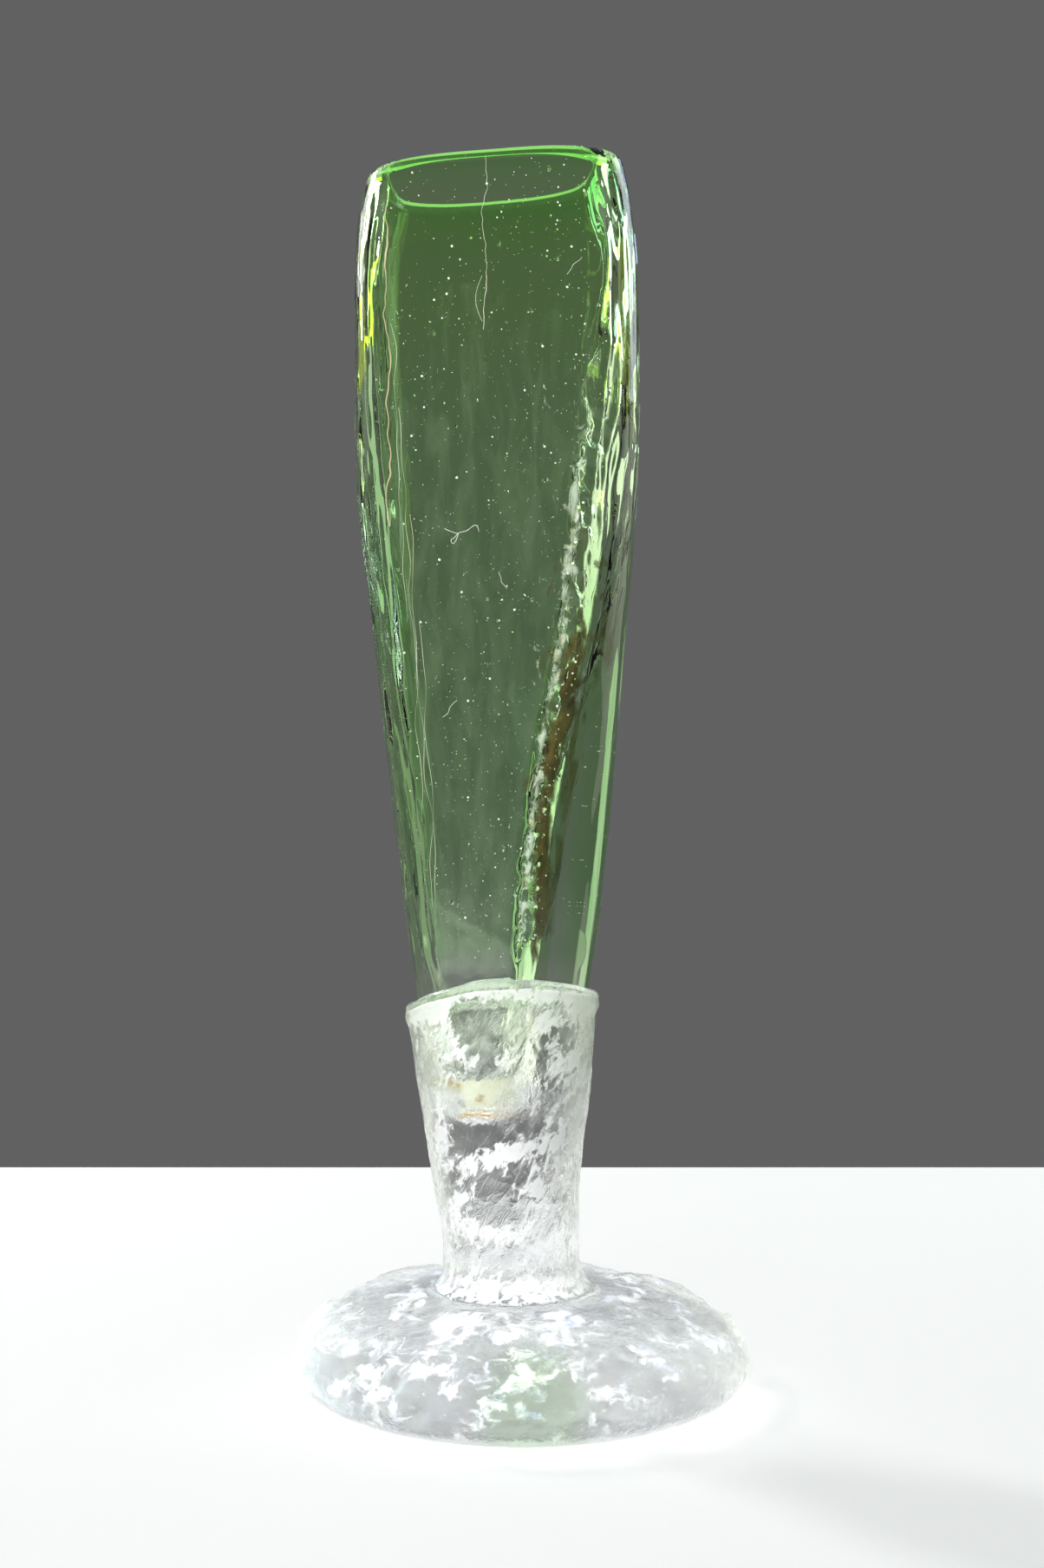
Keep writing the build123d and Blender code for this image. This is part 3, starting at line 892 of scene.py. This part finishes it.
def small_pieces():
    """Seeds in the glass, and dust, hairlines and lint on it."""
    seed_glass, nodes, links = new_material("seed_looks")
    shader = add(nodes, "BsdfPrincipled", Roughness=0.0, IOR=1.5, Transmission_Weight=1.0)
    links.new(shader.outputs["BSDF"], nodes.new("ShaderNodeOutputMaterial").inputs["Surface"])
    places, sizes = scatter(150, 5, 88, 234, (0.12, 0.42), (0.2, 0.8))
    seeds = specks("air_seeds", places, sizes, 1.5, 6, 2)
    seeds.data.flip_normals()
    seeds.data.materials.append(seed_glass)

    places, sizes = scatter(760, 8, 86, 236, (0.07, 0.30), (1.0, 1.02), 0.65)
    more_places, more_sizes = scatter(560, 12, 84, 232, (0.055, 0.15), (1.0, 1.01))
    dust = specks("dust_specks", places + more_places, sizes + more_sizes, 1.0, 9)
    dust.data.materials.append(dull("dust_looks", [(0.93, 0.95, 0.72), (1.0, 1.0, 0.97)], 300))

    lines = []
    z = np.linspace(236.6, 204.0, 70)
    x = -6.9 + wobble(70, 1.1, 15, 1) + wobble(70, 0.25, 3, 2)
    width = 0.8 + wobble(70, 0.9, 6, 31)
    lines.append([(p, w) for p, w in zip(in_wall(x, z, -1, 1.0), width)])
    z = np.linspace(214.0, 205.5, 20)
    x = -7.4 - 1.2 * np.sin(np.linspace(0, math.pi, 20))
    lines.append([(p, 0.7) for p in in_wall(x, z, -1, 1.0)])
    scratches = ((190, 112, -23.0, 4), (170, 96, -20.9, 5), (150, 92, -19.2, 6), (206, 150, -24.6, 7))
    for start, end, left, seed in scratches:
        count = int(start - end)
        z = np.linspace(start, end, count)
        x = left + wobble(count, 1.4, 10, seed) + 0.055 * (start - z)
        lines.append([(p, 0.5 + 0.3 * math.sin(i * 0.31)) for i, p in enumerate(in_wall(x, z, -1, 1.0))])
    hairlines = threads("hairlines", lines, 0.06)
    hairlines.data.materials.append(dull("hairline_looks", [(0.62, 0.64, 0.44), (0.80, 0.80, 0.66)], 90))

    # A beige line on the outside of the front wall, near its left edge.
    z = np.linspace(229.0, 168.0, 100)
    x = -25.6 + wobble(100, 1.5, 14, 3) + wobble(100, 0.5, 4, 9) + 0.012 * (229 - z)
    beige_path = list(zip(in_wall(x, z, -1, 1.0), 1.2 + wobble(100, 1.6, 9, 32)))
    beige_streak = threads("beige_line", [beige_path], 0.09)
    beige_streak.data.materials.append(dull("beige_line_looks", [(0.50, 0.40, 0.20), (0.78, 0.68, 0.44)], 90))

    curl = np.linspace(0, 9.5, 70)
    x = -14.5 + 0.55 * curl + 1.5 * np.sin(curl * 0.9)
    z = 166.0 + 1.3 * np.cos(curl * 0.75) + wobble(70, 0.7, 8, 8)
    fibres = [[(p, 1.0) for p in in_wall(x, z, -1, 1.03)]]
    along = np.linspace(0, 3.2, 16)
    short_fibres = ((8.5, 214, 0.7, 21), (-3.0, 156, -0.4, 22), (1.5, 118, 0.2, 23), (-15, 132, 0.9, 24))
    for start_x, start_z, lean, seed in short_fibres:
        x = start_x + lean * along + wobble(16, 0.8, 6, seed)
        fibres.append([(p, 0.8) for p in in_wall(x, start_z + along, -1, 1.02)])
    lint = threads("lint", fibres, 0.05)
    lint.data.materials.append(dull("lint_looks", [(0.80, 0.84, 0.74), (0.95, 0.95, 0.9)], 60))
    return [seeds, dust, hairlines, beige_streak, lint]


veils = [stem_veil(), foot_painted_glints()]
matter_and_painted_film_pieces = small_pieces() + well_films() + veils
for piece in matter_and_painted_film_pieces:
    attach(piece, "root")

glass_pieces = []
for piece, node, slot in (
    (vessel(), "vessel", "green_glass"),
    (stem_collar(), "stem_collar", "clear_glass"),
    (foot(), "foot", "foot_glass"),
):
    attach(piece, "root")
    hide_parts(node)
    glass_pieces.append(piece)


# ---- the stage, the lights and the camera -----------------------------------------------------------------


TABLE_GLOW = 0.39              # the table gives back light from all round, also where the vase shades it
WINDOW_DISTANCE = 0.6          # of the lamps behind the vase, in metres
CAMERA_DISTANCE = 0.428        # of the camera before it, in metres
CAMERA_HEIGHT = 0.1309
CAMERA_DIP = 1.6               # degrees that the camera looks down
BOUNCES = 24                   # a ray crosses many glass faces


def stage():
    """A plain pale table under a plain grey room that gets light overhead."""
    half, thick, gap = 0.212, 0.02, 0.0003
    corners = [(-half, -half), (half, -half), (half, half), (-half, half)]
    points = [(x, y, -gap) for x, y in corners] + [(x, y, -thick) for x, y in corners]
    sides = [(0, 4, 5, 1), (1, 5, 6, 2), (2, 6, 7, 3), (3, 7, 4, 0)]
    table = mesh_piece("table", points, [(0, 1, 2, 3), (7, 6, 5, 4)] + sides, False)
    material, nodes, links = new_material("pale_table")
    shader = add(nodes, "BsdfPrincipled", Roughness=0.85)
    shader.inputs["Base Color"].default_value = (0.82, 0.82, 0.82, 1)
    shader.inputs["Emission Color"].default_value = (1, 1, 1, 1)
    shader.inputs["Emission Strength"].default_value = TABLE_GLOW
    out = nodes.new("ShaderNodeOutputMaterial")
    links.new(shader.outputs["BSDF"], out.inputs["Surface"])
    table.data.materials.append(material)

    world = bpy.data.worlds.new("room")
    bpy.context.scene.world = world
    world.use_nodes = True
    nodes, links = world.node_tree.nodes, world.node_tree.links
    nodes.clear()
    direction = nodes.new("ShaderNodeTexCoord").outputs["Generated"]
    split = nodes.new("ShaderNodeSeparateXYZ")
    links.new(direction, split.inputs["Vector"])
    up = add(nodes, "MapRange", From_Min=-1.0, From_Max=1.0)
    links.new(split.outputs["Z"], up.inputs["Value"])
    sky = ramp(nodes, links, up.outputs["Result"], [
        (0.17, (0.9, 0.9, 0.9)), (0.35, (0.85, 0.85, 0.85)), (0.39, (0.12, 0.12, 0.122)),
        (0.67, (0.12, 0.12, 0.122)), (0.8, (0.25, 0.26, 0.28)), (1.0, (0.36, 0.37, 0.39)),
    ])
    background = nodes.new("ShaderNodeBackground")
    links.new(sky, background.inputs["Color"])
    out = nodes.new("ShaderNodeOutputWorld")
    links.new(background.outputs["Background"], out.inputs["Surface"])


def softbox(name, place, target, size, glow, colour=(1, 1, 1), hidden=False, through=(), only=()):
    """A lamp that looks glow times as bright as white paper. It shows only in glass, or nowhere if hidden.

    Its light passes the pieces in through as if they weren't there, and lights only those in only, if any.
    """
    data = bpy.data.lights.new(name, "AREA")
    data.shape = "RECTANGLE"
    data.size, data.size_y = size
    data.energy = glow * math.pi * size[0] * size[1]
    data.color = colour
    light = bpy.data.objects.new(name, data)
    light.location = place
    light.rotation_euler = (Vector(target) - Vector(place)).to_track_quat("-Z", "Y").to_euler()
    light.visible_camera = False
    light.visible_glossy = light.visible_transmission = not hidden
    if through:
        passed = bpy.data.collections.new(name + "_passes")
        for piece in through:
            passed.objects.link(piece)
        for member in passed.collection_objects:
            member.light_linking.link_state = "EXCLUDE"
        light.light_linking.blocker_collection = passed
    if only:
        lit = bpy.data.collections.new(name + "_lights")
        for piece in only:
            lit.objects.link(piece)
        light.light_linking.receiver_collection = lit
    bpy.context.scene.collection.objects.link(light)


def window(left, right, low, high):
    """A softbox behind the vase: from left to right in degrees from straight behind it, and its heights."""
    turn = math.radians((left + right) / 2)
    wide = 2 * WINDOW_DISTANCE * math.tan(math.radians((right - left) / 2))
    place = (WINDOW_DISTANCE * math.sin(turn), WINDOW_DISTANCE * math.cos(turn), (low + high) / 2)
    return place, (0, 0, 0.15), (wide, high - low)


def camera():
    """A 50 mm lens close in front of the vase, a little over half way up it, tipped down slightly."""
    data = bpy.data.cameras.new("camera")
    data.lens = 50
    data.sensor_width = 36
    data.clip_start = 0.01
    eye = put("camera", data)
    eye.location = (0, -CAMERA_DISTANCE, CAMERA_HEIGHT)
    eye.rotation_euler = (math.radians(90 - CAMERA_DIP), 0, 0)
    bpy.context.scene.camera = eye


stage()
base = glass_pieces[1:]
KEY = ((-0.46, 0.42, 0.52), (0, 0, 0.06), (0.08, 0.08))
softbox("key", *KEY, 36)
softbox("key_through_foot", *KEY, 68, through=base)

FILL = ((-0.22, -0.60, 0.24), (0, 0, 0.13), (0.3, 0.3))
VEIL_FILL = ((-0.15, -0.25, 0.75), (0, 0, 0.02), (0.3, 0.3))
FOOT_FILL = ((0.15, -0.30, 0.60), (0, 0, 0.01), (0.3, 0.3))
softbox("front_fill", *FILL, 4.5, hidden=True, through=glass_pieces)
softbox("inside_fill", *FILL, 9.5, hidden=True, through=glass_pieces, only=matter_and_painted_film_pieces)
softbox("veil_fill", *VEIL_FILL, 13, hidden=True, through=glass_pieces, only=veils)
softbox("foot_fill", *FOOT_FILL, 3, hidden=True, through=glass_pieces, only=veils[1:])

# Name, left and right in degrees, lowest and highest in metres, glow, colour.
WINDOWS = (
    ("left_window", -49, -39, 0.33, 0.50, 3.0, (1, 1, 1)),
    ("left_glow", -60, -49, 0.285, 0.42, 1.6, (0.80, 1.0, 0.04)),
    ("left_middle", -62, -46, 0.115, 0.285, 0.5, (0.85, 1.0, 0.75)),
    ("left_low", -75, -36, -0.07, 0.115, 0.22, (0.95, 1.0, 0.8)),
    ("right_window", 38, 62, 0.27, 0.52, 2.6, (0.85, 0.96, 1.0)),
    ("right_glow", 62, 80, 0.25, 0.40, 1.8, (0.7, 1.0, 0.15)),
    ("right_sky", 25, 37, 0.36, 0.50, 1.7, (0.55, 0.78, 1.0)),
    ("right_low", 46, 84, -0.10, 0.27, 0.95, (0.97, 1.0, 0.84)),
)
for name, left, right, low, high, glow, colour in WINDOWS:
    softbox(name, *window(left, right, low, high), glow, colour, through=base)
camera()

settings = bpy.context.scene
settings.view_settings.view_transform = "Standard"
settings.cycles.max_bounces = BOUNCES
settings.cycles.transmission_bounces = BOUNCES
settings.cycles.transparent_max_bounces = BOUNCES
settings.cycles.glossy_bounces = 8
settings.cycles.sample_clamp_indirect = 6.0
